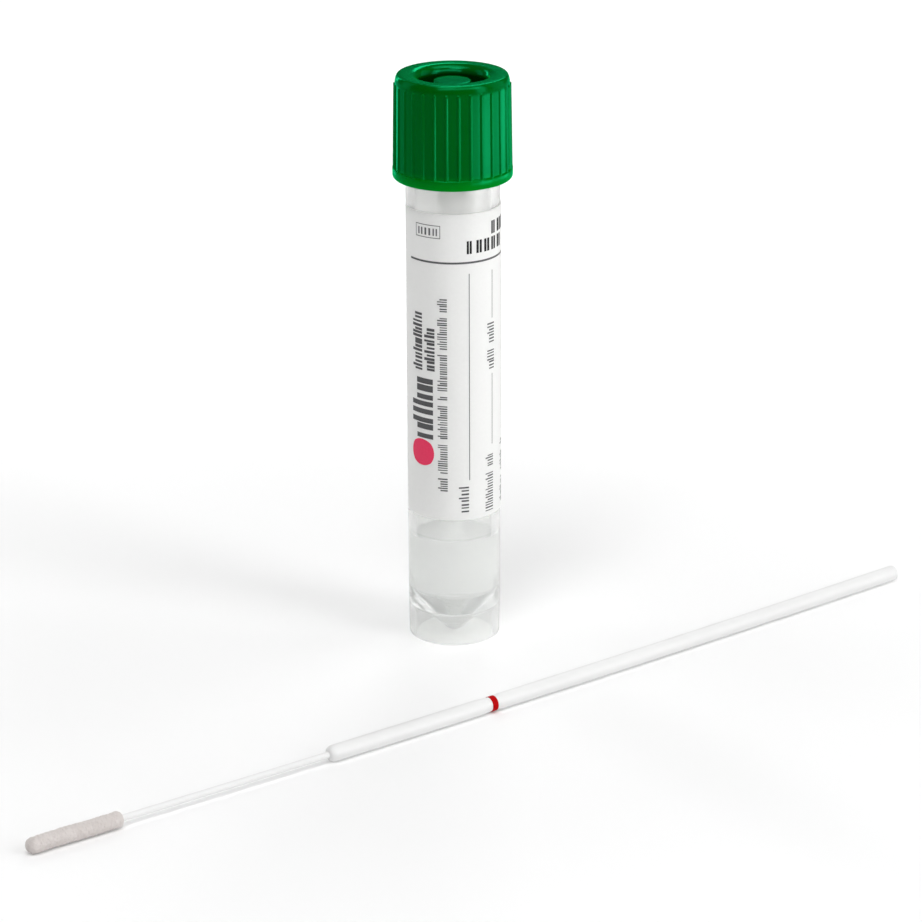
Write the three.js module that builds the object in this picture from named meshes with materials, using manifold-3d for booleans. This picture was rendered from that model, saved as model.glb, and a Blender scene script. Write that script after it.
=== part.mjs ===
// A screw-capped specimen tube with liquid medium in it, and the flocked swab of the set, which
// lies on the same ground beside it. Millimetres, +Z up, standing on z = 0. X runs along the
// swab, and the origin is the middle of the ground that the two cover together.

import * as THREE from 'three';
import { mergeVertices } from 'three/addons/utils/BufferGeometryUtils.js';
import Module from 'manifold-3d';

const wasm = await Module();
wasm.setup();

// ------------------------------------------------------------------ driving dimensions

const facets = 60;                // flats around the tube, cap, label and medium
const swabFacets = 24;            // flats around the pieces of the swab
const roundSteps = 2;             // flats along a rounded edge

// Tube: a straight barrel with a conical bottom, and a skirt under it that stands on the ground.
const tubeHeight = 78.4;
const tubeRadius = 6.38;          // outside, from the top of the skirt to the mouth
const footDraft = 0.08;           // how much narrower the tube is at the ground
const tubeWall = 1.0;
const skirtWall = 0.95;
const coneSlope = 45;             // of the conical bottom, in degrees above level
const coneWall = 1.5;             // measured square to the cone
const coneNoseRadius = 1.9;       // of the rounded point under the cone
const coneNoseLift = 0.2;         // from the ground to that point
const coneWellRadius = 1.5;       // of the rounded point inside the cone
const footRound = 0.12;
const mouthRound = 0.3;

// Medium: the liquid in the bottom of the tube.
const mediumLevel = 15.0;
const meniscusRise = 0.6;         // how far the liquid climbs the wall
const meniscusWidth = 0.9;
const mediumClearance = 0.03;     // to the inside of the tube

// Label: one wrap of paper that leaves a window down the back of the tube.
const labelBottom = 18.7;
const labelBelowCap = 3.5;        // bare tube between the label and the cap
const labelThickness = 0.1;
const labelClearance = 0.02;      // the adhesive between the label and the tube
const labelWrap = 280;            // degrees
const labelStart = 156;           // degrees from +X to its first edge

// Cap: one moulding, with a ribbed skirt over the tube's neck, a plug in its mouth, and a sleeve
// in the middle that takes hold of the swab's broken end.
const capHeight = 14.2;
const capSeatClearance = 0.05;    // between the mouth of the tube and the underside of the rim
const capRimThickness = 1.55;
const capNeckClearance = 0.45;    // around the tube's neck, where the fine thread is
const capWall = 1.02;             // of the skirt between its ribs, just above the band
const capBandHeight = 1.45;       // of the plain band around the bottom edge
const capBandProud = 0.05;        // of the band beyond the ribs
const capDraft = 0.13;            // how much narrower the skirt is at its shoulder
const capShoulderHeight = 1.4;
const capShoulderWidth = 0.48;
const capEdgeRound = 0.2;
const ribCount = 30;
const ribTurn = -1.4;              // degrees from +X to the middle of the first rib
const ribHeight = 0.22;           // beyond the skirt, just above the band
const ribFade = 0.06;             // how much lower the ribs are at their upper ends
const ribBelowTop = 1.2;          // from the top of the cap down to the ribs
const ribCrest = 0.38;            // width of a rib at its crest
const ribFoot = 0.6;              // width of a rib at its foot
const ribEndChamfer = 0.15;
const ribRoot = 0.3;              // how deep the ribs reach into the wall that carries them
const plugDepth = 3.6;
const plugWall = 0.75;
const plugFloor = 0.9;
const plugClearance = 0.04;       // to the inside of the tube
const plugRound = 0.35;
const recessLip = 1.3;            // radius of the round lip into the recess on top
const recessRound = 0.4;
const sleeveClearance = 0.1;      // around the swab's broken end
const sleeveWall = 1.36;          // also of the round boss that shows on top
const sleeveReach = 4.0;          // below the plug
const sleeveLip = 0.5;            // width of the sleeve's lower edge
const sleeveFlare = 1.4;          // height of the flared entry
const sleeveGrip = 2.6;           // length of the broken end that the sleeve takes in
const bossDrop = 0.9;             // top of the boss below the top of the cap
const bossRoof = 1.0;
const bossRound = 0.25;

// Swab: a moulded rod with a thin neck, a flocked tip on the neck, and a groove where it breaks.
const swabLength = 146.2;
const swabBow = 1.0;              // how far its middle lies off the line between its ends
const tipLength = 13.6;
const tipRadius = 1.12;
const tipShoulderRound = 0.5;
const tipEndCover = 1.4;          // fibre beyond the end of the rod
const tipClearance = 0.03;        // between the fibre and the rod
const neckRadius = 0.45;
const neckEnd = 44.7;             // from the end of the tip to the thick part of the rod
const neckRound = 0.2;
const handleRadius = 1.12;        // from the neck to the groove
const handleDomeWidth = 0.62;     // of the round start of the handle, across the rod
const handleDomeLength = 1.0;
const gripRadius = 1.1;           // from the groove to the far end
const gripRound = 0.4;
const breakWidth = 0.95;
const breakRadius = 0.98;
const breakLead = 2.0;            // length of the taper into the groove
const breakExit = 0.8;            // length of the taper out of it
const inkThickness = 0.04;
const inkClearance = 0.02;        // between the ink and the groove
const bendStep = 8;               // longest straight stretch along the bowed rod

// Layout on the ground.
const swabToTube = 24.75;         // from the tube's axis to the line between the swab's ends
const tubeAlongSwab = 11.7;       // from the swab's middle to the tube's axis

// ------------------------------------------------------------------ derived places

const radians = THREE.MathUtils.degToRad;

const boreRadius = tubeRadius - tubeWall;
const footRadius = tubeRadius - footDraft;
const skirtBore = footRadius - skirtWall;
const coneRise = Math.tan(radians(coneSlope));
const noseRise = 1 / Math.cos(radians(coneSlope));
const outerApex = coneNoseLift - coneNoseRadius * (noseRise - 1);
const innerApex = outerApex + coneWall * noseRise;
const skirtHeight = outerApex + skirtBore * coneRise;
const boreBottom = innerApex + boreRadius * coneRise;
const wellBottom = innerApex + coneWellRadius * (noseRise - 1);

const rimUnderside = tubeHeight + capSeatClearance;
const capTop = rimUnderside + capRimThickness;
const capBottom = capTop - capHeight;
const bandTop = capBottom + capBandHeight;
const shoulderBottom = capTop - capShoulderHeight;
const capBore = tubeRadius + capNeckClearance;
const capSkirtRadius = capBore + capWall;
const capShoulderRadius = capSkirtRadius - capDraft;
const capRibRadius = capSkirtRadius + ribHeight;
const capBandRadius = capRibRadius + capBandProud;
const plugRadius = boreRadius - plugClearance;
const plugBottom = rimUnderside - plugDepth;
const recessRadius = plugRadius - plugWall;
const recessFloor = plugBottom + plugFloor;
const bossTop = capTop - bossDrop;
const sleeveBottom = plugBottom - sleeveReach;
const sleeveBore = handleRadius + sleeveClearance;
const sleeveRadius = sleeveBore + sleeveWall;

const labelHeight = capBottom - labelBelowCap - labelBottom;

// The swab breaks where its lower part, stood in the cone, reaches up into the cap's sleeve.
const breakAt = sleeveBottom + sleeveGrip - wellBottom;
const swabRadius = Math.max(tipRadius, handleRadius, gripRadius);

const groundDepth = capBandRadius + swabToTube + swabBow + swabRadius;
const tubeY = groundDepth / 2 - capBandRadius;
const swabY = tubeY - swabToTube;

// ------------------------------------------------------------------ profiles and solids

// A point of a turned profile: its distance from the axis, and its height.
const at = (radius, height) => new THREE.Vector2(radius, height);

// A stretch of an ellipse around (radius, height), from one angle to another in degrees, where 0
// points away from the axis and 90 points up.
function arc(radius, height, width, rise, from, to, steps = roundSteps) {
  return Array.from({ length: steps + 1 }, (_, i) => {
    const angle = radians(from + ((to - from) * i) / steps);
    return at(radius + width * Math.cos(angle), height + rise * Math.sin(angle));
  });
}

// The rounded point of a cone that opens upwards from its apex, as a ball that touches its side.
function roundedPoint(apex, radius) {
  const centre = apex + radius * noseRise;
  return arc(0, centre, radius, radius, -90, coneSlope - 90);
}

// Points at one radius, close enough together for the rod to bend between them.
function straight(radius, from, to) {
  const steps = Math.ceil((to - from) / bendStep);
  return Array.from({ length: steps + 1 }, (_, i) => at(radius, from + ((to - from) * i) / steps));
}

// The solid that a profile sweeps around +Z. The profile runs up its outside and down its inside.
function turned(profile, count = facets) {
  const points = profile.filter((p, i) => i === 0 || p.distanceTo(profile[i - 1]) > 1e-6);
  return new THREE.LatheGeometry(points, count).rotateX(Math.PI / 2);
}

function toSolid(geometry) {
  const bare = geometry.clone();
  bare.deleteAttribute('normal');
  bare.deleteAttribute('uv');
  const merged = mergeVertices(bare, 1e-5);
  const corners = merged.index.array;
  const triangles = [];
  for (let i = 0; i < corners.length; i += 3) {
    const [a, b, c] = corners.slice(i, i + 3);
    if (a !== b && b !== c && c !== a) triangles.push(a, b, c);
  }
  return new wasm.Manifold(new wasm.Mesh({
    numProp: 3,
    vertProperties: new Float32Array(merged.attributes.position.array),
    triVerts: new Uint32Array(triangles),
  }));
}

function toGeometry(solid) {
  const mesh = solid.getMesh();
  const geometry = new THREE.BufferGeometry();
  geometry.setAttribute('position', new THREE.BufferAttribute(mesh.vertProperties, 3));
  geometry.setIndex(new THREE.BufferAttribute(mesh.triVerts, 1));
  geometry.computeVertexNormals();
  return geometry;
}

// ------------------------------------------------------------------ tube, medium and label

function tubeGeometry() {
  return turned([
    ...roundedPoint(outerApex, coneNoseRadius),
    at(skirtBore, skirtHeight),
    ...arc(skirtBore + footRound, footRound, footRound, footRound, 180, 270),
    ...arc(footRadius - footRound, footRound, footRound, footRound, -90, 0),
    at(tubeRadius, skirtHeight),
    ...arc(tubeRadius - mouthRound, tubeHeight - mouthRound, mouthRound, mouthRound, 0, 90),
    ...arc(boreRadius + mouthRound, tubeHeight - mouthRound, mouthRound, mouthRound, 90, 180),
    at(boreRadius, boreBottom),
    ...roundedPoint(innerApex, coneWellRadius).reverse(),
  ]);
}

// The liquid follows the cone and the wall, and curves up to meet the wall at its surface.
function mediumGeometry() {
  const radius = boreRadius - mediumClearance;
  const apex = innerApex + mediumClearance * noseRise;
  const crest = mediumLevel + meniscusRise;
  return turned([
    ...roundedPoint(apex, coneWellRadius - mediumClearance),
    at(radius, apex + radius * coneRise),
    ...arc(radius - meniscusWidth, crest, meniscusWidth, meniscusRise, 0, -90),
    at(0, mediumLevel),
  ]);
}

// The label's section is a curved strip, drawn along its outside and back along its inside.
function labelGeometry() {
  const inside = tubeRadius + labelClearance;
  const steps = Math.round((labelWrap / 360) * facets);
  const side = (radius) => Array.from({ length: steps + 1 }, (_, i) => {
    const angle = radians(labelStart + (labelWrap * i) / steps);
    return new THREE.Vector2(radius * Math.cos(angle), radius * Math.sin(angle));
  });
  const section = new THREE.Shape([...side(inside + labelThickness), ...side(inside).reverse()]);
  const strip = new THREE.ExtrudeGeometry(section, { depth: labelHeight, bevelEnabled: false });
  return strip.translate(0, 0, labelBottom);
}

// ------------------------------------------------------------------ cap

// The cap without its ribs: up the sleeve, around the plug, down inside the skirt, up outside
// it, over the rim, and down into the recess around the boss.
function capBlank() {
  return turned([
    at(0, bossTop - bossRoof),
    at(sleeveBore, bossTop - bossRoof),
    at(sleeveBore, sleeveBottom + sleeveFlare),
    at(sleeveRadius - sleeveLip, sleeveBottom),
    at(sleeveRadius, sleeveBottom),
    at(sleeveRadius, plugBottom),
    ...arc(plugRadius - plugRound, plugBottom + plugRound, plugRound, plugRound, -90, 0),
    at(plugRadius, rimUnderside),
    at(capBore, rimUnderside),
    ...arc(capBore + capEdgeRound, capBottom + capEdgeRound, capEdgeRound, capEdgeRound, 180, 270),
    ...arc(capBandRadius - capEdgeRound, capBottom + capEdgeRound, capEdgeRound, capEdgeRound, -90, 0),
    at(capBandRadius, bandTop - capEdgeRound),
    at(capRibRadius, bandTop),
    at(capSkirtRadius, bandTop),
    ...arc(capShoulderRadius - capShoulderWidth, shoulderBottom, capShoulderWidth,
      capShoulderHeight, 0, 90, 2 * roundSteps),
    ...arc(recessRadius + recessLip, capTop - recessLip, recessLip, recessLip, 90, 180,
      2 * roundSteps),
    ...arc(recessRadius - recessRound, recessFloor + recessRound, recessRound, recessRound, 0, -90),
    ...arc(sleeveRadius + recessRound, recessFloor + recessRound, recessRound, recessRound, 270, 180),
    ...arc(sleeveRadius - bossRound, bossTop - bossRound, bossRound, bossRound, 0, 90),
    at(0, bossTop),
  ]);
}

// One rib as a bar that stands in the wall and leans in to its crest on both sides.
function ribBar(index) {
  const inside = capShoulderRadius - ribRoot;
  const outside = capRibRadius + capBandProud;
  const lean = (ribFoot - ribCrest) / 2 / ribHeight;
  const halfWidth = (radius) => ribFoot / 2 - (radius - capSkirtRadius) * lean;
  const corner = (radius, side) => new THREE.Vector2(radius, side * halfWidth(radius));
  const section = new THREE.Shape([
    corner(inside, -1), corner(outside, -1), corner(outside, 1), corner(inside, 1),
  ]);
  const bar = new THREE.ExtrudeGeometry(section, { depth: capHeight, bevelEnabled: false });
  return bar.translate(0, 0, bandTop - ribRoot).rotateZ(radians(ribTurn + (360 * index) / ribCount));
}

// The space that the ribs fill: down to just inside the band, up to their ends, and out to crests
// that lean in with the skirt.
function ribLimits() {
  const upperRadius = capRibRadius - capDraft - ribFade;
  const upperEnd = capTop - ribBelowTop;
  return turned([
    at(0, bandTop - ribRoot),
    at(capRibRadius, bandTop - ribRoot),
    at(capRibRadius, bandTop),
    at(upperRadius, upperEnd - ribEndChamfer),
    at(upperRadius - ribEndChamfer, upperEnd),
    at(0, upperEnd),
  ]);
}

function capGeometry() {
  const bars = Array.from({ length: ribCount }, (_, i) => toSolid(ribBar(i)));
  const ribs = wasm.Manifold.union(bars).intersect(toSolid(ribLimits()));
  return toGeometry(toSolid(capBlank()).add(ribs));
}

// ------------------------------------------------------------------ swab

// Lays a piece that was turned around +Z along +X, with the end of the tip at the low end, and
// bows it sideways as a parabola that is level with its ends at both ends.
function laidAlongSwab(geometry) {
  const laid = geometry.rotateY(Math.PI / 2).translate(-swabLength / 2, 0, 0);
  const place = laid.attributes.position;
  for (let i = 0; i < place.count; i += 1) {
    const share = place.getX(i) / (swabLength / 2);
    place.setY(i, place.getY(i) - swabBow * (1 - share * share));
  }
  laid.computeVertexNormals();
  return laid;
}

function shaftGeometry() {
  const grooveStart = breakAt - breakWidth / 2;
  const grooveEnd = breakAt + breakWidth / 2;
  return laidAlongSwab(turned([
    at(0, tipEndCover),
    ...arc(neckRadius - neckRound, tipEndCover + neckRound, neckRound, neckRound, -90, 0),
    ...straight(neckRadius, tipEndCover + neckRound, neckEnd),
    ...arc(handleRadius - handleDomeWidth, neckEnd + handleDomeLength,
      handleDomeWidth, handleDomeLength, -90, 0, 2 * roundSteps),
    ...straight(handleRadius, neckEnd + handleDomeLength, grooveStart - breakLead),
    at(breakRadius, grooveStart),
    at(breakRadius, grooveEnd),
    ...straight(gripRadius, grooveEnd + breakExit, swabLength - gripRound),
    ...arc(gripRadius - gripRound, swabLength - gripRound, gripRound, gripRound, 0, 90),
    at(0, swabLength),
  ], swabFacets));
}

// The flock is a sleeve of fibre with a round end, and the end of the rod sits in it.
function tipGeometry() {
  const bore = neckRadius + tipClearance;
  return laidAlongSwab(turned([
    ...arc(0, tipRadius, tipRadius, tipRadius, -90, 0, 2 * roundSteps),
    ...arc(tipRadius - tipShoulderRound, tipLength - tipShoulderRound,
      tipShoulderRound, tipShoulderRound, 0, 90),
    ...straight(bore, tipEndCover - tipClearance, tipLength).reverse(),
    at(0, tipEndCover - tipClearance),
  ], swabFacets));
}

// A band of ink around the floor of the groove, as a ring whose section closes on itself.
function breakMarkGeometry() {
  const inside = breakRadius + inkClearance;
  const start = breakAt - breakWidth / 2 + inkClearance;
  const end = breakAt + breakWidth / 2 - inkClearance;
  return laidAlongSwab(turned([
    at(inside, start),
    at(inside + inkThickness, start),
    at(inside + inkThickness, end),
    at(inside, end),
    at(inside, start),
  ], swabFacets));
}

// ------------------------------------------------------------------ the set

const finishes = {
  clearPlastic: { color: 0xe6eae7, roughness: 0.18, metalness: 0, transparent: true, opacity: 0.4 },
  medium: { color: 0xd3dad4, roughness: 0.05, metalness: 0, transparent: true, opacity: 0.55 },
  paper: { color: 0xf3f3f1, roughness: 0.6, metalness: 0 },
  greenPlastic: { color: 0x0b7a37, roughness: 0.3, metalness: 0 },
  whitePlastic: { color: 0xf2f2f2, roughness: 0.3, metalness: 0 },
  flock: { color: 0xd6ccc8, roughness: 0.95, metalness: 0 },
  redInk: { color: 0xb60d12, roughness: 0.4, metalness: 0 },
};

function piece(name, geometry, finish) {
  const mesh = new THREE.Mesh(geometry, new THREE.MeshStandardMaterial(finishes[finish]));
  mesh.name = name;
  return mesh;
}

const tube = new THREE.Group();
tube.position.set(tubeAlongSwab, tubeY, 0);
tube.add(
  piece('tube', tubeGeometry(), 'clearPlastic'),
  piece('medium', mediumGeometry(), 'medium'),
  piece('label', labelGeometry(), 'paper'),
  piece('cap', capGeometry(), 'greenPlastic'),
);

const swab = new THREE.Group();
swab.position.set(0, swabY, swabRadius);
swab.add(
  piece('swab_shaft', shaftGeometry(), 'whitePlastic'),
  piece('swab_tip', tipGeometry(), 'flock'),
  piece('break_mark', breakMarkGeometry(), 'redInk'),
);

const set = new THREE.Group();
set.add(tube, swab);

export default set;
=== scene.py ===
import math

import bpy
import numpy as np
from mathutils import Euler, Matrix, Vector


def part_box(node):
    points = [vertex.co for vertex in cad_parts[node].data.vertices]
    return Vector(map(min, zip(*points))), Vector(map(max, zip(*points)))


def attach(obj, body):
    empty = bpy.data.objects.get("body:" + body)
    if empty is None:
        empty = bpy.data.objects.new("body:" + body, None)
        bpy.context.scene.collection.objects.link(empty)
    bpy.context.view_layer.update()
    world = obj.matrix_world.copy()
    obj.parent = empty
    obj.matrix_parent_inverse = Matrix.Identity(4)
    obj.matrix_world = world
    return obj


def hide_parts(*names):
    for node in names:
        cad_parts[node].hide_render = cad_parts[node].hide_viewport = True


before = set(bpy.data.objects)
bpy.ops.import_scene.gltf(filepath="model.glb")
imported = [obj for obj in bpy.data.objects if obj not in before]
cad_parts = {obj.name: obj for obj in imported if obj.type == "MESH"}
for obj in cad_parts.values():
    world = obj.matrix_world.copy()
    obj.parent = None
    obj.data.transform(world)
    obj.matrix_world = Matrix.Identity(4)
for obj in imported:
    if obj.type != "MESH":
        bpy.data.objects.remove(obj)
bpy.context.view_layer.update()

# ------------------------------------------------------------------------------------------ tube
# The tube is one injection moulding in clear polypropylene: a straight barrel that ends in a cone,
# a skirt around the cone that it stands on, and a fine thread around the neck. Its walls are about
# a millimetre thick and a little milky, with the faint grain and flow marks of the mould.

# Sizes are in millimetres. Radii are from the tube's axis, and heights from the ground.
mm = 0.001
tube_low, tube_high = (np.array(corner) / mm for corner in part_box("tube"))
tube_axis = (tube_low + tube_high)[:2] / 2
tube_radius = (tube_high - tube_low)[0] / 2
mouth_height = tube_high[2]
tube_wall, skirt_wall, cone_wall = 1.0, 0.95, 1.5
foot_draft = 0.08
bore_radius = tube_radius - tube_wall
foot_radius = tube_radius - foot_draft
skirt_bore = foot_radius - skirt_wall
cone_slope = math.radians(45)
nose_radius, well_radius = 1.9, 1.5       # of the rounded points under and in the cone
nose_lift = 0.2
nose_centre = nose_lift + nose_radius
outer_apex = nose_centre - nose_radius / math.cos(cone_slope)
inner_apex = outer_apex + cone_wall / math.cos(cone_slope)
well_centre = inner_apex + well_radius / math.cos(cone_slope)
skirt_height = outer_apex + skirt_bore * math.tan(cone_slope)
cone_top = inner_apex + bore_radius * math.tan(cone_slope)
thread_start, thread_pitch, thread_turns = 69.3, 3.0, 2.1
thread_height, thread_width, thread_flank = 0.3, 1.15, 0.34
thread_fade = 0.12                        # of a turn, at each end of the thread
thread_end = thread_start + thread_pitch * thread_turns
tube_columns = 192


def round_arc(centre, size, start, end, steps):
    """Points of an ellipse: centre + size * (cos a, sin a), where a runs evenly from start to end,
    in degrees."""
    a = np.radians(np.linspace(start, end, steps + 1))[:, None]
    return np.array(centre) + np.array(size) * np.hstack([np.cos(a), np.sin(a)])


def profile(*corners):
    """The line through corners (radius, height, round, rows). Each corner between the first and
    the last becomes an arc of radius round that touches both its sides. The straight after a
    corner has that many rows, which crowd towards its ends as (1 - cos(pi t)) / 2."""
    place = np.array([corner[:2] for corner in corners], float)
    side = np.diff(place, axis=0)
    side /= np.linalg.norm(side, axis=1, keepdims=True)
    arcs = [place[:1]]
    for i in range(1, len(corners) - 1):
        before, after, radius = side[i - 1], side[i], corners[i][2]
        turn = math.atan2(before[0] * after[1] - before[1] * after[0], before @ after)
        start = place[i] - before * radius * math.tan(abs(turn) / 2)
        inward = math.copysign(1, turn) * np.array([-before[1], before[0]])
        steps = 3 + int(6 * radius) if radius else 0
        a = np.linspace(0, abs(turn), steps + 1)[:, None]
        arcs.append(start + radius * (inward * (1 - np.cos(a)) + before * np.sin(a)))
    arcs.append(place[-1:])
    line = [arcs[0]]
    for corner, before, after in zip(corners, arcs, arcs[1:]):
        share = (1 - np.cos(np.pi * np.arange(1, corner[3]) / corner[3]))[:, None] / 2
        line += [before[-1] + (after[0] - before[-1]) * share, after]
    return np.concatenate(line)


def thread_rise(angle, height, start):
    """How far a right-handed thread stands out. Its middle climbs one pitch a turn from start. The
    rise is full at the middle, falls over the flank as 3t^2 - 2t^3, and fades at both ends."""
    turn = angle / (2 * np.pi) % 1
    lap = np.round((height - start) / thread_pitch - turn)
    along = lap + turn
    off = np.abs((height - start) - along * thread_pitch)
    across = np.clip((thread_width / 2 - off) / thread_flank, 0, 1)
    ends = np.clip(np.minimum(along, thread_turns - along) / thread_fade, 0, 1)
    return thread_height * across**2 * (3 - 2 * across) * ends**2 * (3 - 2 * ends)


def skin(name, grid, around=True, along=False):
    """A mesh of quads over the points grid[row, column], in millimetres. Columns close round where
    around is true, and rows where along is true. A first or last row that has shrunk to a point
    becomes one vertex with a fan of triangles, and open columns get a flat face at both ends."""
    points = grid.reshape(-1, 3) * mm
    index = np.arange(len(points)).reshape(grid.shape[:2])
    for end in (0, -1):
        if np.ptp(grid[end], axis=0).max() < 1e-6:
            index[end] = index[end, 0]
    ends = [] if around else [index[::-1, 0].tolist(), index[:, -1].tolist()]
    if around:
        index = np.column_stack([index, index[:, :1]])
    if along:
        index = np.vstack([index, index[:1]])
    quads = np.stack([index[:-1, :-1], index[:-1, 1:], index[1:, 1:], index[1:, :-1]], -1)
    quads = quads.reshape(-1, 4)
    first, last = quads[:, 0] == quads[:, 1], quads[:, 2] == quads[:, 3]
    faces = quads[~(first | last)].tolist() + quads[first][:, 1:].tolist()
    faces += quads[last][:, :3].tolist() + ends
    return solid(name, points, faces)


def solid(name, points, faces):
    """A smooth object of these points, in metres, and faces. Points that no face uses go."""
    used = np.zeros(len(points), bool)
    used[np.concatenate([np.ravel(face) for face in faces])] = True
    place = np.cumsum(used) - 1
    mesh = bpy.data.meshes.new(name)
    mesh.from_pydata(points[used], [], [place[face].tolist() for face in faces])
    mesh.polygons.foreach_set("use_smooth", np.ones(len(faces), bool))
    mesh.update()
    piece = bpy.data.objects.new(name, mesh)
    bpy.context.scene.collection.objects.link(piece)
    return piece


def turned(name, radius, height, angle):
    """A profile swept round the tube's axis: the point at (row, column) is
    axis + radius * (cos angle, sin angle), at that height."""
    radius, height, angle = np.broadcast_arrays(radius, height, angle)
    return skin(name, np.stack([
        tube_axis[0] + radius * np.cos(angle), tube_axis[1] + radius * np.sin(angle), height,
    ], -1))


def node(tree, kind, inputs={}, **settings):
    """A new shader node with these settings. An input takes a value, or a link from a socket."""
    made = tree.nodes.new("ShaderNode" + kind)
    for name, value in settings.items():
        setattr(made, name, value)
    for name, value in inputs.items():
        if isinstance(value, bpy.types.NodeSocket):
            tree.links.new(value, made.inputs[name])
        else:
            made.inputs[name].default_value = value
    return made


def group(name, inputs, outputs):
    """An empty shader group with these named sockets, and its input and output nodes."""
    tree = bpy.data.node_groups.new(name, "ShaderNodeTree")
    for label, kind in inputs.items():
        tree.interface.new_socket(label, in_out="INPUT", socket_type="NodeSocket" + kind)
    for label, kind in outputs.items():
        tree.interface.new_socket(label, in_out="OUTPUT", socket_type="NodeSocket" + kind)
    return tree, tree.nodes.new("NodeGroupInput").outputs, tree.nodes.new("NodeGroupOutput").inputs


def let_light_by(tree, shader, colour):
    """The shader for every ray but those towards lamps, which pass as through a clear pane of
    this colour."""
    path = node(tree, "LightPath")
    pane = node(tree, "BsdfTransparent", {"Color": colour})
    return node(tree, "MixShader", {
        0: path.outputs["Is Shadow Ray"], 1: shader.outputs[0], 2: pane.outputs[0],
    }).outputs[0]


def finish(name, piece):
    """A new material on the piece: its node tree, its output, and its Object coordinates."""
    material = bpy.data.materials.new(name)
    material.use_nodes = True
    tree = material.node_tree
    tree.nodes.clear()
    piece.data.materials.append(material)
    place = node(tree, "TexCoord").outputs["Object"]
    return tree, tree.nodes.new("ShaderNodeOutputMaterial").inputs["Surface"], place


# The skin of a moulding: fine grain, and longer flow marks along the way the plastic ran. Tone
# goes from 0 to 1 with the flow marks, and Height is the grain and the marks for a bump.
mould_skin, skin_in, skin_out = group(
    "mould_skin",
    {"Vector": "Vector", "Flow Stretch": "Vector", "Grain Scale": "Float", "Flow Scale": "Float"},
    {"Tone": "Float", "Height": "Float"},
)
mould_grain = node(mould_skin, "TexNoise", {
    "Vector": skin_in["Vector"], "Scale": skin_in["Grain Scale"], "Detail": 2.0,
})
mould_stretch = node(mould_skin, "VectorMath", {
    0: skin_in["Vector"], 1: skin_in["Flow Stretch"],
}, operation="MULTIPLY")
mould_flow = node(mould_skin, "TexNoise", {
    "Vector": mould_stretch.outputs[0], "Scale": skin_in["Flow Scale"], "Detail": 3.0,
})
mould_height = node(mould_skin, "Math", {
    0: mould_grain.outputs[0], 1: mould_flow.outputs[0],
}, operation="ADD")
mould_skin.links.new(mould_flow.outputs[0], skin_out["Tone"])
mould_skin.links.new(mould_height.outputs[0], skin_out["Height"])

# The profile runs from the point under the cone out to the foot, up to the mouth and back down
# the bore. Most of its rows lie where the thread is.
cone_tilt = math.degrees(cone_slope) - 90
nose_edge = nose_radius * math.sin(cone_slope), nose_centre - nose_radius * math.cos(cone_slope)
well_edge = well_radius * math.sin(cone_slope), well_centre - well_radius * math.cos(cone_slope)
tube_line = np.concatenate([
    round_arc((0, nose_centre), (nose_radius,) * 2, -90, cone_tilt, 10),
    profile(
        (*nose_edge, 0, 6),
        (skirt_bore, skirt_height, 0.35, 6),
        (skirt_bore, 0, 0.12, 2),
        (foot_radius, 0, 0.12, 8),
        (tube_radius, skirt_height, 1.5, 12),
        (tube_radius, thread_start - 1, 0, 64),
        (tube_radius, thread_end + 1, 0, 4),
        (tube_radius, mouth_height, 0.3, 2),
        (bore_radius, mouth_height, 0.3, 16),
        (bore_radius, cone_top, 1.0, 6),
        (*well_edge, 0, 1),
    )[1:],
    round_arc((0, well_centre), (well_radius,) * 2, cone_tilt, -90, 10)[1:],
])
around_tube = np.linspace(0, 2 * np.pi, tube_columns, endpoint=False)
outside = np.arange(len(tube_line))[:, None] < np.argmax(tube_line[:, 1])
thread = np.where(outside, thread_rise(around_tube, tube_line[:, 1:], thread_start), 0)
tube = turned("tube_moulding", tube_line[:, :1] + thread, tube_line[:, 1:], around_tube)

clear, surface, place = finish("clear_polypropylene", tube)
clear_skin = node(clear, "Group", {
    "Vector": place, "Flow Stretch": (1, 1, 0.06), "Grain Scale": 2600.0, "Flow Scale": 520.0,
}, node_tree=mould_skin)
clear_tint = node(clear, "MixRGB", {
    0: clear_skin.outputs["Tone"], 1: (0.915, 0.92, 0.912, 1), 2: (0.955, 0.96, 0.952, 1),
})

# The bottom of the skirt is tinted a little greyer than the barrel, as painted shade for the
# shadowed floor seen through it. The neck is tinted paler, as painted light for the dim inside seen
# through it, and is frosted.
grey_full, grey_none = 4.0, 6.5
frost_and_lift_none, frost_and_lift_full = 59.5, 61.5
clear_height = node(clear, "SeparateXYZ", {0: place})
clear_foot_shade = node(clear, "MapRange", {
    0: clear_height.outputs["Z"], 1: grey_full * mm, 2: grey_none * mm, 3: 1.0, 4: 0.0,
})
# Painted shade: the greyer tint stands for the shadowed floor inside the skirt.
clear_foot_painted_shade = node(clear, "MixRGB", {
    0: clear_foot_shade.outputs[0], 1: clear_tint.outputs[0], 2: (0.83, 0.835, 0.828, 1),
})
clear_neck_frost_and_lift = node(clear, "MapRange", {
    0: clear_height.outputs["Z"], 1: frost_and_lift_none * mm, 2: frost_and_lift_full * mm, 3: 0.0, 4: 1.0,
})
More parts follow.
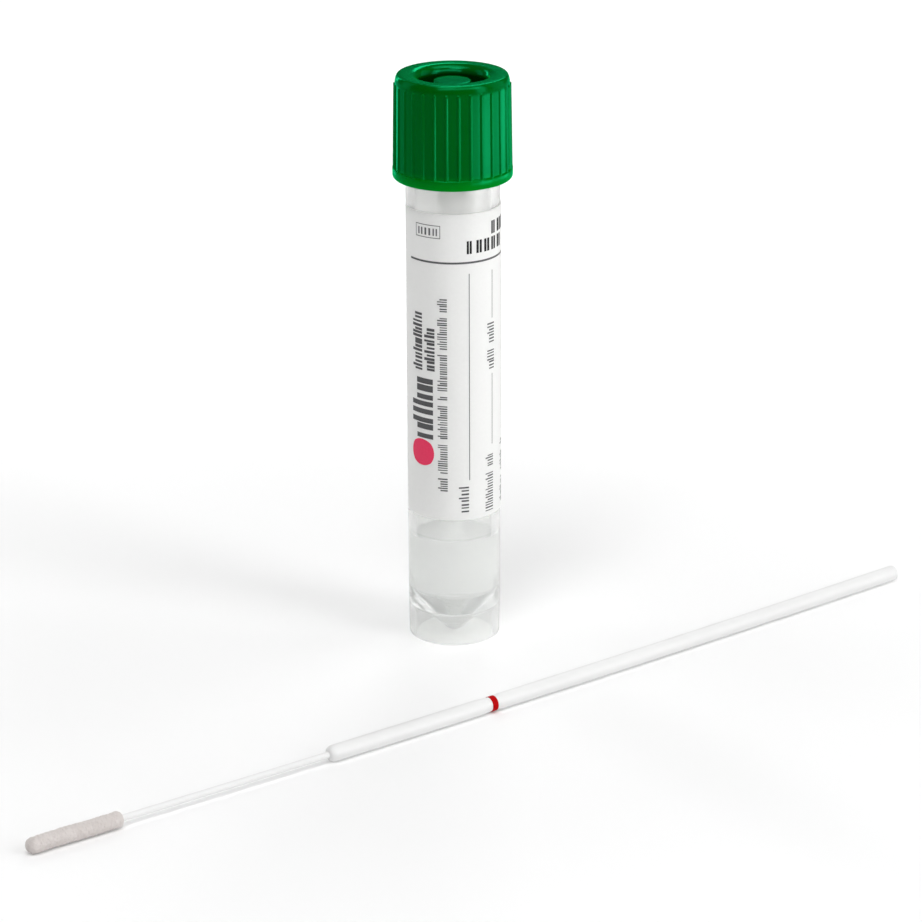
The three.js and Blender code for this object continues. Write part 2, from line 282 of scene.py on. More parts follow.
# Painted light: the paler tint lifts the dim inside of the tube seen through the neck.
clear_neck_painted_lift = node(clear, "MixRGB", {
    0: clear_neck_frost_and_lift.outputs[0], 1: clear_foot_painted_shade.outputs[0], 2: (0.985, 0.985, 0.98, 1),
})
clear_polish = node(clear, "MapRange", {0: clear_skin.outputs["Tone"], 3: 0.05, 4: 0.1})
clear_rough = node(clear, "Math", {
    0: clear_neck_frost_and_lift.outputs[0], 1: 0.15, 2: clear_polish.outputs[0],
}, operation="MULTIPLY_ADD")
clear_bump = node(clear, "Bump", {
    "Height": clear_skin.outputs["Height"], "Strength": 0.15, "Distance": 0.00004,
})
clear_shader = node(clear, "BsdfPrincipled", {
    "Base Color": clear_neck_painted_lift.outputs[0], "Roughness": clear_rough.outputs[0], "IOR": 1.49,
    "Transmission Weight": 0.78, "Normal": clear_bump.outputs[0],
})
clear.links.new(let_light_by(clear, clear_shader, (0.55, 0.555, 0.55, 1)), surface)
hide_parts("tube")
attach(tube, "tube")

# ---------------------------------------------------------------------------------------- medium
# About a millilitre of clear, slightly cloudy liquid. It wets the bore, so that its surface curves
# up at the wall. It reaches a hair into the wall, as liquid that touches plastic does to the eye.

medium_top = np.array(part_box("medium")[1])[2] / mm
medium_reach = 0.02                       # into the wall
medium_radius = bore_radius + medium_reach
meniscus_rise, meniscus_width = 0.6, 0.9
medium_apex = inner_apex - medium_reach / math.cos(cone_slope)
medium_level = medium_top - meniscus_rise
medium_side = medium_radius * math.tan(cone_slope)
medium_point = 0.02                       # half width of the flat at its lowest point
medium_line = np.concatenate([
    profile(
        (0, medium_apex, 0, 1),
        (medium_point, medium_apex + medium_point * math.tan(cone_slope), 0, 8),
        (medium_radius, medium_apex + medium_side, 1.0, 10),
        (medium_radius, medium_top, 0, 1),
    ),
    round_arc((medium_radius - meniscus_width, medium_top),
              (meniscus_width, meniscus_rise), 0, -90, 12)[1:],
    profile((medium_radius - meniscus_width, medium_level, 0, 6), (0, medium_level, 0, 1))[1:],
])
medium = turned("medium_fill", medium_line[:, :1], medium_line[:, 1:], around_tube)

liquid, surface, place = finish("clear_medium", medium)
liquid_cloud = node(liquid, "TexNoise", {"Vector": place, "Scale": 180, "Detail": 3.0})
liquid_tint = node(liquid, "MixRGB", {
    0: liquid_cloud.outputs[0], 1: (0.95, 0.96, 0.955, 1), 2: (0.98, 0.985, 0.98, 1),
})
liquid_shader = node(liquid, "BsdfPrincipled", {
    "Base Color": liquid_tint.outputs[0], "Roughness": 0.02, "IOR": 1.335,
    "Transmission Weight": 0.96,
})

# The wedge that climbs the wall thins out to nothing, so most of what lies behind it shows.
wedge_none, wedge_full = medium_level + 0.01, medium_level + 0.06
liquid_height = node(liquid, "SeparateXYZ", {0: place})
liquid_edge = node(liquid, "MapRange", {
    0: liquid_height.outputs["Z"], 1: wedge_none * mm, 2: wedge_full * mm, 3: 0.0, 4: 0.85,
})
liquid_pane = node(liquid, "BsdfTransparent", {"Color": (0.99, 0.99, 0.99, 1)})
liquid_thin = node(liquid, "MixShader", {
    0: liquid_edge.outputs[0], 1: liquid_shader.outputs[0], 2: liquid_pane.outputs[0],
})
liquid.links.new(let_light_by(liquid, liquid_thin, (0.97, 0.97, 0.97, 1)), surface)
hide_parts("medium")
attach(medium, "tube")

# ----------------------------------------------------------------------------------------- label
# One wrap of white coated paper, stuck on so that a window stays open down the back of the tube.
# Its print stands a hundredth of a millimetre proud: an outlined box, stamped bars, rules to fill
# in with grey bars for their captions, and a heading of bold bars with a crimson field.

label_low, label_high = (np.array(corner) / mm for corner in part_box("label"))
label_bottom, label_top = label_low[2], label_high[2]
label_middle = (label_bottom + label_top) / 2
label_start, label_wrap, label_columns = 156.0, 280.0, 225
# The adhesive side wets the plastic, so it lies a hair inside the tube's face.
label_outside, label_inside = tube_radius + 0.12, tube_radius - 0.01
label_edge = profile(
    (label_inside, label_middle, 0, 6),
    (label_inside, label_bottom, 0, 1),
    (label_outside, label_bottom, 0.03, 10),
    (label_outside, label_top, 0.03, 1),
    (label_inside, label_top, 0, 6),
    (label_inside, label_middle + 0.01, 0, 1),
)
label_angle = np.radians(np.linspace(label_start, label_start + label_wrap, label_columns))
label = skin("label_paper", np.stack([
    tube_axis[0] + label_edge[:, :1] * np.cos(label_angle),
    tube_axis[1] + label_edge[:, :1] * np.sin(label_angle),
    np.broadcast_to(label_edge[:, 1:], (len(label_edge), len(label_angle))),
], -1), around=False, along=True)

paper, surface, place = finish("coated_paper", label)
paper_fibre = node(paper, "TexNoise", {"Vector": place, "Scale": 2400, "Detail": 4.0})
paper_tint = node(paper, "MixRGB", {
    0: paper_fibre.outputs[0], 1: (0.86, 0.86, 0.855, 1), 2: (0.92, 0.92, 0.915, 1),
})
paper_bump = node(paper, "Bump", {
    "Height": paper_fibre.outputs[0], "Strength": 0.25, "Distance": 0.00002,
})
paper_shader = node(paper, "BsdfPrincipled", {
    "Base Color": paper_tint.outputs[0], "Roughness": 0.5, "Specular IOR Level": 0.35,
    "Normal": paper_bump.outputs[0],
})
paper_glow = node(paper, "BsdfTranslucent", {"Color": (0.95, 0.95, 0.93, 1)})
paper_thin = node(paper, "MixShader", {
    0: 0.22, 1: paper_shader.outputs[0], 2: paper_glow.outputs[0],
})
paper.links.new(let_light_by(paper, paper_thin, (0.8, 0.8, 0.8, 1)), surface)
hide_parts("label")
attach(label, "tube")

facing = -127.42                          # where the print's 0 degrees lies, from +X
print_proud, print_sunk = 0.012, 0.01


def patches(angle_low, angle_high, low, high):
    """Corners of printed patches on the label, as rows of (left, right, bottom, top)."""
    rows = np.stack(np.broadcast_arrays(angle_low, angle_high, low, high), -1).astype(float)
    return rows.reshape(-1, 4)


def halved(rows, share):
    """Each patch as two bars at its left and right, each of that share of its width."""
    left, right, bottom, top = rows.T
    wide = (right - left) * share
    return np.concatenate([
        patches(left, left + wide, bottom, top), patches(right - wide, right, bottom, top),
    ])


def column(angle_low, angle_high, bottom, top, pitch, fill, words, seed):
    """Short bars up the label between two angles: one each pitch, that fills about that share of
    it, with a gap after each word of so many bars. Each bar's place and width vary a little, and
    six in ten start further in, all from a seed."""
    repeats, shift, thin, wide, inset_share, inset_odds = 9, 0.25, 0.75, 1.2, 0.26, 0.6
    rng = np.random.default_rng(seed)
    cells = np.concatenate([np.append(np.ones(word), (0, 0)) for word in np.tile(words, repeats)])
    cells = np.flatnonzero(cells[:int((top - bottom) / pitch)])
    low = bottom + (cells + rng.uniform(0, shift, len(cells))) * pitch
    high = low + pitch * fill * rng.uniform(thin, wide, len(cells))
    inset = (angle_high - angle_low) * inset_share * (rng.random(len(cells)) < inset_odds)
    return patches(angle_low + inset, angle_high, low, high)


def printed(name, *parts, flats=6, rounding=0.0):
    """A mesh of low trays on the label, with walls down into the paper. A patch is a grid of flats
    over (u, v), which both go from -1 to 1. Its point lies at (u sqrt(1 - r v^2 / 2),
    v sqrt(1 - r u^2 / 2)) of the patch's half width and height: r = 1 makes a disc of it."""
    left, right, bottom, top = (side[:, None, None] for side in np.concatenate(parts).T)
    u = np.clip(np.linspace(-1 - 2 / flats, 1 + 2 / flats, flats + 3), -1, 1)
    v = u if rounding else np.array([-1, -1, 1, 1])
    sunk = np.ones((len(v), len(u)), bool)
    sunk[1:-1, 1:-1] = False
    u, v = np.meshgrid(u, v)
    across, up = u * np.sqrt(1 - rounding * v**2 / 2), v * np.sqrt(1 - rounding * u**2 / 2)
    angle = np.radians(facing + (left + right) / 2 + across * (right - left) / 2)
    radius = label_outside + np.where(sunk, -print_sunk, print_proud)
    grid = np.stack([
        tube_axis[0] + radius * np.cos(angle), tube_axis[1] + radius * np.sin(angle),
        (bottom + top) / 2 + up * (top - bottom) / 2,
    ], -1)
    index = np.arange(grid[..., 0].size).reshape(grid.shape[:3])
    quads = np.stack([
        index[:, :-1, :-1], index[:, :-1, 1:], index[:, 1:, 1:], index[:, 1:, :-1],
    ], -1).reshape(-1, 4)
    piece = solid(name, grid.reshape(-1, 3) * mm, quads.tolist())
    piece.data.polygons.foreach_set("use_smooth", np.zeros(len(quads), bool))
    return piece


# The print's places are degrees around the tube, then heights.
rule_step = 10
around_rule = np.arange(-60, 200, rule_step)
grey_print = printed(
    "label_print_grey",
    # the outlined box, and the bars in it
    patches(-49.2, -15.2, (58.88, 60.6), (58.98, 60.7)),
    patches((-49.2, -15.9), (-48.5, -15.2), 58.88, 60.7),
    halved(patches((-45.2, -35.6, -24.6), (-38.8, -27.8, -19.0), 59.25, 60.25), 0.3),
    # the rule around the label
    patches(around_rule, around_rule + rule_step, 55.41, 55.68),
    # rules to fill in, and their captions
    patches((19.0, 53.4, 53.4), (19.9, 54.2, 54.2), (24.5, 47.1, 29.0), (54.0, 53.9, 39.2)),
    column(6.0, 18.5, 19.8, 24.1, 0.5, 0.45, [9], 1),
    column(45.0, 57.5, 39.9, 46.9, 0.42, 0.45, [7, 7], 2),
    column(42.0, 55.5, 19.4, 28.6, 0.38, 0.45, [15, 5], 3),
    patches((88, 123, 158), (88.8, 123.8, 158.8), 30.0, 54.0),
    column(76, 88, 19.6, 29.0, 0.42, 0.45, [9, 7], 4),
    column(111, 123, 19.6, 29.0, 0.42, 0.45, [11, 5], 5),
    column(146, 158, 19.6, 29.0, 0.42, 0.45, [7, 9], 6),
    # the long line of small print
    column(-19.5, -7.5, 22.9, 51.6, 0.33, 0.5, [6, 13, 15, 2, 16, 14], 7),
)
bold_print = printed(
    "label_print_bold",
    column(-58, -25.5, 30.2, 39.2, 1.12, 0.74, [8], 8),
    column(-56.5, -40.5, 39.9, 48.4, 0.52, 0.64, [16], 9),
    column(-37.2, -23.0, 40.0, 46.3, 0.52, 0.64, [12], 10),
)
stamp_print = printed(
    "label_print_stamp",
    halved(patches(
        (16.6, 29.0, 40.2, 52.4, 65.0), (22.8, 36.5, 48.4, 60.2, 75.0), 56.75, 58.55,
    ), 0.42),
    halved(patches((52.4, 65.0, 80.0), (59.5, 76.5, 90.0), 58.95, 60.75), 0.42),
)
crimson_print = printed(
    "label_print_crimson", patches(-58.8, -24.4, 26.3, 30.1), flats=18, rounding=0.9,
)

for piece, name, tint, worn in (
    (grey_print, "grey_ink", (0.09, 0.09, 0.092, 1), (0.13, 0.13, 0.133, 1)),
    (bold_print, "bold_ink", (0.08, 0.08, 0.083, 1), (0.115, 0.115, 0.118, 1)),
    (stamp_print, "stamp_ink", (0.002, 0.002, 0.002, 1), (0.012, 0.012, 0.013, 1)),
    (crimson_print, "crimson_ink", (0.78, 0.035, 0.11, 1), (0.86, 0.055, 0.14, 1)),
):
    ink, surface, place = finish(name, piece)
    ink_lay = node(ink, "TexNoise", {"Vector": place, "Scale": 4200, "Detail": 3.0})
    ink_tint = node(ink, "MixRGB", {0: ink_lay.outputs[0], 1: tint, 2: worn})
    ink_bump = node(ink, "Bump", {
        "Height": ink_lay.outputs[0], "Strength": 0.2, "Distance": 0.00001,
    })
    ink_shader = node(ink, "BsdfPrincipled", {
        "Base Color": ink_tint.outputs[0], "Roughness": 0.55, "Specular IOR Level": 0.15,
        "Normal": ink_bump.outputs[0],
    })
    ink.links.new(ink_shader.outputs[0], surface)
    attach(piece, "tube")

# ------------------------------------------------------------------------------------------- cap
# The cap is one moulding in green polypropylene. Ribs stand on its skirt, above a plain band, and
# end sharply below the rounded shoulder. A round lip leads into the recess on top, where a boss
# closes the sleeve that catches the broken swab. A plug seals the mouth, and the skirt screws on.

cap_low, cap_high = (np.array(corner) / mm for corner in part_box("cap"))
cap_bottom, cap_top = cap_low[2], cap_high[2]
neck_clearance, seat_clearance, plug_clearance = 0.45, 0.05, 0.04
cap_bore = tube_radius + neck_clearance
# The skirt and the ribs lean in a little from just above the band (low) to the shoulder (high).
skirt_low, skirt_high = cap_bore + 1.02, cap_bore + 0.89
rib_low, rib_high = skirt_low + 0.22, skirt_low + 0.03
band_radius = skirt_low + 0.27
band_top = cap_bottom + 1.45
band_step = 0.08                          # how much lower the band ends under a rib
rib_end = cap_top - 1.2
shoulder, shoulder_width = cap_top - 1.4, 0.48
shoulder_centre = (skirt_high - shoulder_width, shoulder)
rim_underside = mouth_height + seat_clearance
plug_wall, plug_floor, plug_depth = 0.75, 0.9, 3.6
plug_radius = bore_radius - plug_clearance
plug_bottom = rim_underside - plug_depth
recess_radius, recess_floor = plug_radius - plug_wall, plug_bottom + plug_floor
recess_lip, recess_round = 1.3, 0.4
sleeve_bore, sleeve_radius = 1.22, 2.58
sleeve_bottom, sleeve_lip, sleeve_flare = plug_bottom - 4.0, 0.5, 1.4
boss_top = cap_top - 0.9
boss_underside = boss_top - 1
rib_count, rib_turn = 30, -1.4
rib_crest, rib_foot = 0.05, 0.29          # half widths

# The columns crowd on the sides of each rib.
rib_pitch = 2 * np.pi * skirt_low / rib_count
rib_side = np.array([0.05, 0.1, 0.145, 0.19, 0.235, 0.285, 0.36, 0.52])
rib_columns = np.concatenate([[0], rib_side, [rib_pitch / 2], rib_pitch - rib_side[::-1]])
around_cap = (np.arange(rib_count)[:, None] + rib_columns / rib_pitch).ravel()
off_rib = np.abs((around_cap + 0.5) % 1 - 0.5) * rib_pitch
around_cap = around_cap * 2 * np.pi / rib_count + math.radians(rib_turn)
rib_rise = np.clip((rib_foot - off_rib) / (rib_foot - rib_crest), 0, 1)
rib_rise = rib_rise**2 * (3 - 2 * rib_rise)


def cap_line(band_lip, skirt, upper_skirt, upper_end):
    """The cap's profile over a rib or between ribs, which differ only in the skirt's outside."""
    end = math.degrees(math.asin((rib_end - shoulder) / (cap_top - shoulder)))
    arc = round_arc(shoulder_centre, (shoulder_width, cap_top - shoulder), end, 90, 11)
    return np.concatenate([
        profile(
            (0, boss_underside, 0, 2), (sleeve_bore, boss_underside, 0.15, 3),
            (sleeve_bore, sleeve_bottom + sleeve_flare, 0.1, 3),
            (sleeve_radius - sleeve_lip, sleeve_bottom, 0.1, 1),
            (sleeve_radius, sleeve_bottom, 0.1, 3),
            (sleeve_radius, plug_bottom, 0.2, 3), (plug_radius, plug_bottom, 0.35, 3),
            (plug_radius, rim_underside, 0.1, 2), (cap_bore, rim_underside, 0.15, 2),
            (cap_bore, thread_end + 2, 0, 44),
            (cap_bore, thread_start, 0, 3), (cap_bore, cap_bottom, 0.2, 2),
            (band_radius, cap_bottom, 0.5, 2), (band_radius, band_lip, 0.1, 2),
            (skirt, band_top, 0.06, 12), (upper_skirt, upper_end, 0.06, 2), (*arc[0], 0, 1),
        ),
        arc[1:],
        profile(
            (*arc[-1], 0, 2), (recess_radius, cap_top, recess_lip, 3),
            (recess_radius, recess_floor, recess_round, 2),
            (sleeve_radius, recess_floor, recess_round, 3),
            (sleeve_radius, boss_top, 0.25, 4), (0, boss_top, 0, 1),
        )[1:],
    ])


between = cap_line(band_top, skirt_low, skirt_high, shoulder + 0.02)[:, :, None]
over_rib = cap_line(band_top - band_step, rib_low, rib_high, rib_end)[:, :, None]
cap_radius, cap_height = (
    between[:, i] + (over_rib[:, i] - between[:, i]) * rib_rise for i in (0, 1)
)
# The thread in the bore runs half a pitch above the tube's, so that they lie between each other.
in_bore = np.abs(cap_radius - cap_bore) < 0.001
cap_thread = thread_rise(around_cap, cap_height, thread_start + thread_pitch / 2)
cap_radius = cap_radius - np.where(in_bore, cap_thread, 0)
cap = turned("cap_moulding", cap_radius, cap_height, around_cap)

green, surface, place = finish("green_polypropylene", cap)
green_skin = node(green, "Group", {
    "Vector": place, "Flow Stretch": (1, 1, 0.15), "Grain Scale": 2200.0, "Flow Scale": 300.0,
}, node_tree=mould_skin)
green_tint = node(green, "MixRGB", {
    0: green_skin.outputs["Tone"], 1: (0.0, 0.074, 0.0, 1), 2: (0.0, 0.096, 0.001, 1),
})

# The lower edge is painted a brighter green, a painted glow for the floor's light showing through
# the thin plastic there.
glow_full, glow_none = cap_bottom - 0.2, cap_bottom + 2.2
green_height = node(green, "SeparateXYZ", {0: place}).outputs["Z"]
green_glow_mask = node(green, "MapRange", {
    0: green_height, 1: glow_full * mm, 2: glow_none * mm, 3: 0.8, 4: 0.0,
})
green_painted_glow = node(green, "MixRGB", {
    0: green_glow_mask.outputs[0], 1: green_tint.outputs[0], 2: (0.0, 0.26, 0.0, 1),
})

# The recess is painted darker with depth, as painted shade for the hollow where little light
# reaches.
dark_none, dark_full = cap_top - 0.5, cap_top - 1.3
dark_radius, dark_bottom = recess_radius + 0.3, recess_floor - 0.3
green_plan = node(green, "VectorMath", {0: place, 1: (1, 1, 0)}, operation="MULTIPLY")
green_axis = node(green, "VectorMath", {
    0: green_plan.outputs[0], 1: (tube_axis[0] * mm, tube_axis[1] * mm, 0),
}, operation="DISTANCE")
green_within = node(green, "Math", {
    0: green_axis.outputs["Value"], 1: dark_radius * mm,
}, operation="LESS_THAN")
green_above = node(green, "Math", {
    0: green_height, 1: dark_bottom * mm,
}, operation="GREATER_THAN")
green_depth = node(green, "MapRange", {
    0: green_height, 1: dark_none * mm, 2: dark_full * mm, 3: 0.0, 4: 0.85,
})
green_recess = node(green, "Math", {
    0: green_within.outputs[0], 1: green_above.outputs[0],
}, operation="MULTIPLY")
green_recess_shade = node(green, "Math", {
    0: green_recess.outputs[0], 1: green_depth.outputs[0],
}, operation="MULTIPLY")
green_painted_shade = node(green, "MixRGB", {
    0: green_recess_shade.outputs[0], 1: green_painted_glow.outputs[0], 2: (0.0, 0.012, 0.0, 1),
})
green_rough = node(green, "MapRange", {0: green_skin.outputs["Tone"], 3: 0.14, 4: 0.22})
green_bump = node(green, "Bump", {
    "Height": green_skin.outputs["Height"], "Strength": 0.1, "Distance": 0.00003,
})
green_body = node(green, "BsdfPrincipled", {
    "Base Color": green_painted_shade.outputs[0], "Roughness": green_rough.outputs[0],
    "Specular IOR Level": 0.0, "Normal": green_bump.outputs[0],
})
green_gloss = node(green, "BsdfAnisotropic", {
    "Color": (0.015, 1.0, 0.42, 1), "Roughness": green_rough.outputs[0],
    "Normal": green_bump.outputs[0],
})
green_facing = node(green, "Fresnel", {"IOR": 1.35})
green_shader = node(green, "MixShader", {
    0: green_facing.outputs[0], 1: green_body.outputs[0], 2: green_gloss.outputs[0],
})
green.links.new(green_shader.outputs[0], surface)
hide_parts("cap")
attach(cap, "cap")

# ------------------------------------------------------------------------------------- swab rod
# The swab is one moulded rod of white plastic: a thin neck, a handle, a groove where it breaks,
# and a grip. It lies on the ground beside the tube, bowed a little to one side.

rod_low, rod_high = (np.array(corner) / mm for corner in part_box("swab_shaft"))
tip_low, tip_high = (np.array(corner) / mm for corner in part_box("swab_tip"))
swab_start, swab_end = tip_low[0], rod_high[0]
swab_half = (swab_end - swab_start) / 2
handle_radius, grip_radius, neck_radius = 1.12, 1.1, 0.45
swab_bow = 1.0
swab_y, swab_z = rod_low[1] + handle_radius + swab_bow, handle_radius
fibre_cover = 1.4                         # of fibre beyond the end of the rod
neck_end, dome_width, dome_length = 44.7, 0.62, 1
break_at, break_radius, break_half = 71.294, 0.98, 0.475
break_lead, break_exit = 2.48, 1.275      # from the groove's middle to its two outer edges


def laid(name, distance, radius, angle, along=False):
    """A profile swept along the swab: the point at (row, column) lies at that distance from the
    tip's end, off the bowed centre line by radius * (cos angle, sin angle). The centre line is a
    parabola, bow * (1 - s^2), where s goes from -1 to 1 along the swab. Rows close on themselves
    where along is true."""
    distance, radius, angle = np.broadcast_arrays(distance, radius, angle)
    share = distance / swab_half - 1
    return skin(name, np.stack([
        swab_start + distance,
        swab_y - swab_bow * (1 - share**2) + radius * np.cos(angle),
        swab_z + radius * np.sin(angle),
    ], -1), along=along)


around_rod = np.linspace(0, 2 * np.pi, 48, endpoint=False)
rod_line = np.concatenate([
    profile(
        (0, fibre_cover, 0, 1), (neck_radius, fibre_cover, 0.2, 40),
        (neck_radius, neck_end, 0.05, 1), (handle_radius - dome_width, neck_end, 0, 1),
    ),
    round_arc((handle_radius - dome_width, neck_end + dome_length),
              (dome_width, dome_length), -90, 0, 14)[1:],
    profile(
        (handle_radius, neck_end + dome_length, 0, 30),
        (handle_radius, break_at - break_lead, 2.0, 4),
        (break_radius, break_at - break_half, 0.1, 2),
        (break_radius, break_at + break_half, 0.1, 4),
        (grip_radius, break_at + break_exit, 1.0, 70),
        (grip_radius, 2 * swab_half, 0.4, 2), (0, 2 * swab_half, 0, 1),
    )[1:],
])
rod = laid("swab_rod", rod_line[:, 1:], rod_line[:, :1], around_rod)

white, surface, place = finish("white_plastic", rod)
white_skin = node(white, "Group", {
    "Vector": place, "Flow Stretch": (0.1, 1, 1), "Grain Scale": 2600.0, "Flow Scale": 400.0,
}, node_tree=mould_skin)
white_tint = node(white, "MixRGB", {
    0: white_skin.outputs["Tone"], 1: (0.77, 0.77, 0.77, 1), 2: (0.83, 0.83, 0.825, 1),
})
white_rough = node(white, "MapRange", {0: white_skin.outputs["Tone"], 3: 0.28, 4: 0.42})
white_bump = node(white, "Bump", {
    "Height": white_skin.outputs["Height"], "Strength": 0.2, "Distance": 0.00002,
})
white_shader = node(white, "BsdfPrincipled", {
    "Base Color": white_tint.outputs[0], "Roughness": white_rough.outputs[0],
    "Specular IOR Level": 0.15, "Normal": white_bump.outputs[0],
})
white.links.new(let_light_by(white, white_shader, (0.4, 0.4, 0.4, 1)), surface)
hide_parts("swab_shaft")
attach(rod, "tube")

# ---------------------------------------------------------------------------------- flocked tip
# Short nylon fibres, shot into glue on the end of the neck, stand out all round it. They make a
# soft, lumpy sleeve with a round end. The single fibres that stick out of it are not drawn.

tip_length, tip_radius = tip_high[0] - tip_low[0], 1.12
flock_radius = tip_radius - 0.09          # to the middle of the fibres' ends
flock_shoulder, flock_end = 0.5, tip_length - 0.05
flock_rows, flock_columns = 300, 112      # rows along the straight part
flock_limit = 0.08                        # how far the lumps stand out or sink in, at most
flock_calm = 0.4                          # radius at which the lumps have their full height


def lumps(rows, columns, size, seed):
    """Smooth random heights on a grid that closes on itself: white noise, blurred by a Gaussian of
    that many rows and columns, and scaled to a spread of one."""
    noise = np.fft.rfft2(np.random.default_rng(seed).standard_normal((rows, columns)))
    along, across = np.fft.fftfreq(rows)[:, None], np.fft.rfftfreq(columns)
    blur = np.exp(-2 * np.pi**2 * ((along * size[0])**2 + (across * size[1])**2))
    smooth = np.fft.irfft2(noise * blur, (rows, columns))
    return smooth / smooth.std()


flock_line = np.concatenate([
    round_arc((0, tip_radius), (flock_radius, flock_radius), -90, 0, 26),
    np.column_stack([
        np.full(flock_rows, flock_radius),
        np.linspace(tip_radius, tip_length - 0.62, flock_rows + 2)[1:-1],
    ]),
    round_arc((flock_radius - flock_shoulder, tip_length - 0.55), (flock_shoulder,) * 2, 0, 90, 12),
    profile((flock_radius - flock_shoulder, flock_end, 0, 3), (0, flock_end, 0, 1))[1:],
])
around_tip = np.linspace(0, 2 * np.pi, flock_columns, endpoint=False)
flock_rise = (
    0.022 * lumps(len(flock_line), flock_columns, (14, 9), 1)
    + 0.022 * lumps(len(flock_line), flock_columns, (2.2, 1.7), 2)
)
flock_rise = np.clip(flock_rise, -flock_limit, flock_limit)
flock_rise *= np.clip(flock_line[:, :1] / flock_calm, 0, 1)
tip = laid("flocked_tip", flock_line[:, 1:], flock_line[:, :1] + flock_rise, around_tip)

flock, surface, place = finish("nylon_flock", tip)
flock_fine = node(flock, "TexNoise", {"Vector": place, "Scale": 7000, "Detail": 4.0})
flock_patch = node(flock, "TexNoise", {"Vector": place, "Scale": 700, "Detail": 2.0})
flock_mix = node(flock, "Math", {
    0: flock_fine.outputs[0], 1: flock_patch.outputs[0],
}, operation="MULTIPLY")
flock_tint = node(flock, "MixRGB", {
    0: flock_mix.outputs[0], 1: (0.56, 0.51, 0.49, 1), 2: (0.79, 0.75, 0.73, 1),
})
flock_bump = node(flock, "Bump", {
    "Height": flock_fine.outputs[0], "Strength": 0.8, "Distance": 0.00005,
})
flock_shader = node(flock, "BsdfPrincipled", {
    "Base Color": flock_tint.outputs[0], "Roughness": 0.95, "Specular IOR Level": 0.2,
    "Sheen Weight": 0.25, "Sheen Roughness": 0.6, "Normal": flock_bump.outputs[0],
})
flock.links.new(flock_shader.outputs[0], surface)
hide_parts("swab_tip")
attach(tip, "tube")

# ------------------------------------------------------------------------------------ break mark
# A band of red ink around the floor of the groove shows where the rod breaks.

mark_inside, mark_outside = break_radius - 0.01, break_radius + 0.06
mark_start, mark_stop = break_at - 0.455, break_at + 0.455
mark_line = profile(
    (mark_inside, break_at, 0, 1), (mark_inside, mark_start, 0, 1),
    (mark_outside, mark_start, 0.02, 4), (mark_outside, mark_stop, 0.02, 1),
    (mark_inside, mark_stop, 0, 1), (mark_inside, break_at + 0.01, 0, 1),
)
mark = laid("break_ink", mark_line[:, 1:], mark_line[:, :1], around_rod, along=True)

red, surface, place = finish("red_ink", mark)
red_lay = node(red, "TexNoise", {"Vector": place, "Scale": 3000, "Detail": 3.0})
red_tint = node(red, "MixRGB", {
    0: red_lay.outputs[0], 1: (0.36, 0.001, 0.002, 1), 2: (0.52, 0.002, 0.004, 1),
})
red_shader = node(red, "BsdfPrincipled", {
    "Base Color": red_tint.outputs[0], "Roughness": 0.45, "Specular IOR Level": 0.02,
})
red.links.new(red_shader.outputs[0], surface)
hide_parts("break_mark")
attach(mark, "tube")

# -------------------------------------------------------------------------- floor, light, camera
# A plain white floor that keeps soft shadows and fades to pure white far off, under a world that
# shows white. Soft lamps stand around the tube, two more only gloss the cap's rim and shoulder,
# and low cards near the tube only gloss its sides and the cap's.

floor_half = 3000
floor = skin("floor", np.array([
    [[-floor_half, -floor_half, 0], [floor_half, -floor_half, 0]],
    [[-floor_half, floor_half, 0], [floor_half, floor_half, 0]],
], float), around=False)
floor_tree, surface, place = finish("floor_white", floor)
floor_path = node(floor_tree, "LightPath").outputs
floor_seen = node(floor_tree, "Math", {
    0: floor_path["Is Camera Ray"], 1: floor_path["Is Transmission Ray"],
}, operation="MAXIMUM")
floor_reach = node(floor_tree, "VectorMath", {0: place}, operation="LENGTH")

# Near the tube the camera sees the floor a little lifted, and more so further out.
lift_start, lift_end = 50, 250
floor_fade = node(floor_tree, "MapRange", {
    0: floor_reach.outputs["Value"], 1: lift_start * mm, 2: lift_end * mm, 3: 0.06, 4: 0.3,
})
floor_lift = node(floor_tree, "Math", {
    0: floor_path["Is Camera Ray"], 1: floor_fade.outputs[0],
}, operation="MULTIPLY")
floor_paint = node(floor_tree, "BsdfDiffuse", {"Color": (0.9, 0.9, 0.9, 1)})
floor_glow = node(floor_tree, "Emission", {"Strength": floor_lift.outputs[0]})
floor_light = node(floor_tree, "AddShader", {
    0: floor_paint.outputs[0], 1: floor_glow.outputs[0],
})

# Far off, where no lamp reaches, it is pure white to the camera, as the world is.
white_start, white_end = 200, 700
floor_away = node(floor_tree, "MapRange", {
    0: floor_reach.outputs["Value"], 1: white_start * mm, 2: white_end * mm,
})
floor_far = node(floor_tree, "Math", {
    0: floor_seen.outputs[0], 1: floor_away.outputs[0],
}, operation="MULTIPLY")
floor_plain = node(floor_tree, "Emission", {"Color": (1, 1, 1, 1), "Strength": 1.0})
floor_white = node(floor_tree, "MixShader", {
    0: floor_far.outputs[0], 1: floor_light.outputs[0], 2: floor_plain.outputs[0],
})
floor_tree.links.new(floor_white.outputs[0], surface)

world = bpy.data.worlds.new("white_room")
world.use_nodes = True
bpy.context.scene.world = world
sky = world.node_tree
sky.nodes.clear()
sky_path = node(sky, "LightPath").outputs
sky_seen = node(sky, "Math", {
    0: sky_path["Is Camera Ray"], 1: sky_path["Is Transmission Ray"],
}, operation="MAXIMUM")
sky_level = node(sky, "MapRange", {0: sky_seen.outputs[0], 3: 0.24, 4: 1.0})
sky_light = node(sky, "Background", {"Color": (1, 1, 1, 1), "Strength": sky_level.outputs[0]})
sky.links.new(sky_light.outputs[0], sky.nodes.new("ShaderNodeOutputWorld").inputs["Surface"])

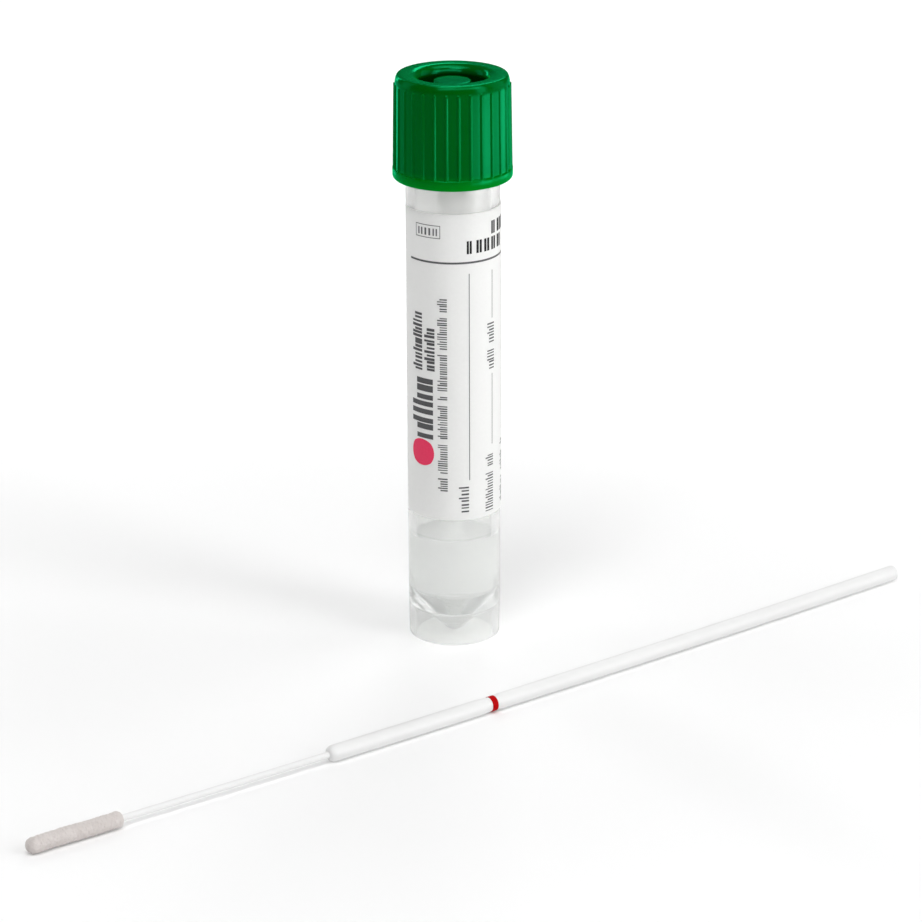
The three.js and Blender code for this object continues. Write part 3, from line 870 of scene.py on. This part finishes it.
# Lamps and cards are in metres. Their azimuths are degrees from the camera, to the right.
lamp_distance, card_distance = 1.4, 0.15
card_low, card_high = 0.026, 0.048
lamp_aim = Vector((tube_axis[0] * mm, tube_axis[1] * mm, 0.04))
card_aim = Vector((*(tube_axis * mm), (card_low + card_high) / 2))


def area_lamp(name, aim, away, distance, width, height, power):
    """A rectangular lamp at aim + away * distance that faces aim. The camera doesn't see it."""
    light = bpy.data.lights.new(name, "AREA")
    light.shape, light.size, light.size_y, light.energy = "RECTANGLE", width, height, power
    made = bpy.data.objects.new(name, light)
    made.location = aim + away * distance
    made.rotation_euler = away.to_track_quat("Z", "Y").to_euler()
    made.visible_camera = False
    bpy.context.scene.collection.objects.link(made)
    return made


def lamp(name, azimuth, elevation, width, height, power, lights_all=True):
    """A soft lamp some way off. One that doesn't light all shows only in gloss and clear plastic,
    and adds nothing to plain surfaces."""
    a, e = math.radians(facing + azimuth), math.radians(elevation)
    away = Vector((math.cos(a) * math.cos(e), math.sin(a) * math.cos(e), math.sin(e)))
    made = area_lamp(name, lamp_aim, away, lamp_distance, width, height, power)
    made.visible_diffuse = lights_all


def card(name, azimuth, spread, radiance):
    """A low upright lamp, spread degrees wide, that only gloss shows. It stands where the sides
    of the cap, seen from the camera, mirror the ground."""
    a = math.radians(facing + azimuth)
    width = 2 * card_distance * math.tan(math.radians(spread / 2))
    height = card_high - card_low
    power = radiance * math.pi * width * height
    away = Vector((math.cos(a), math.sin(a), 0))
    made = area_lamp(name, card_aim, away, card_distance, width, height, power)
    made.visible_transmission = made.visible_diffuse = False


lamp("front_lamp", -15, 62, 0.55, 0.55, 7.2)
lamp("strip_lamp", 60, 20, 0.5, 1.2, 8.6)
lamp("side_lamp", 105, 20, 0.9, 1.2, 4.5)
lamp("edge_lamp", -145, 15, 0.18, 1.0, 3.0)
lamp("fill_lamp", -105, 20, 0.6, 1.2, 2.6)
lamp("top_lamp", 60, 78, 0.4, 0.4, 1.8)
lamp("back_lamp", 170, 33, 0.5, 0.4, 3.4)
lamp("crest_lamp", 20, 84, 1.6, 0.8, 22.0, lights_all=False)
lamp("brow_lamp", 15, 38, 2.2, 0.5, 20.0, lights_all=False)
card("near_card", 46, 20, 4.5)
card("band_card", 66, 26, 10.0)
card("side_card", 104, 46, 4.0)
card("edge_card", -141, 6, 2.5)

camera = bpy.data.cameras.new("camera")
camera.sensor_width, camera.lens = 36, 139.3
camera.clip_start, camera.clip_end = 0.01, 20
viewer = bpy.data.objects.new("camera", camera)
bpy.context.scene.collection.objects.link(viewer)
camera_down, camera_heading, camera_roll = 20.105, -37.42, -0.2
viewer_turn = Euler((math.radians(90 - camera_down), 0, math.radians(camera_heading))).to_matrix()
viewer_turn = viewer_turn @ Matrix.Rotation(math.radians(camera_roll), 3, "Z")
viewer_place = Vector((tube_axis[0] - 280.95, tube_axis[1] - 368.82, 194.76)) * mm
viewer.matrix_world = Matrix.LocRotScale(viewer_place, viewer_turn, None)
bpy.context.scene.camera = viewer
bpy.context.scene.view_settings.view_transform = "Standard"
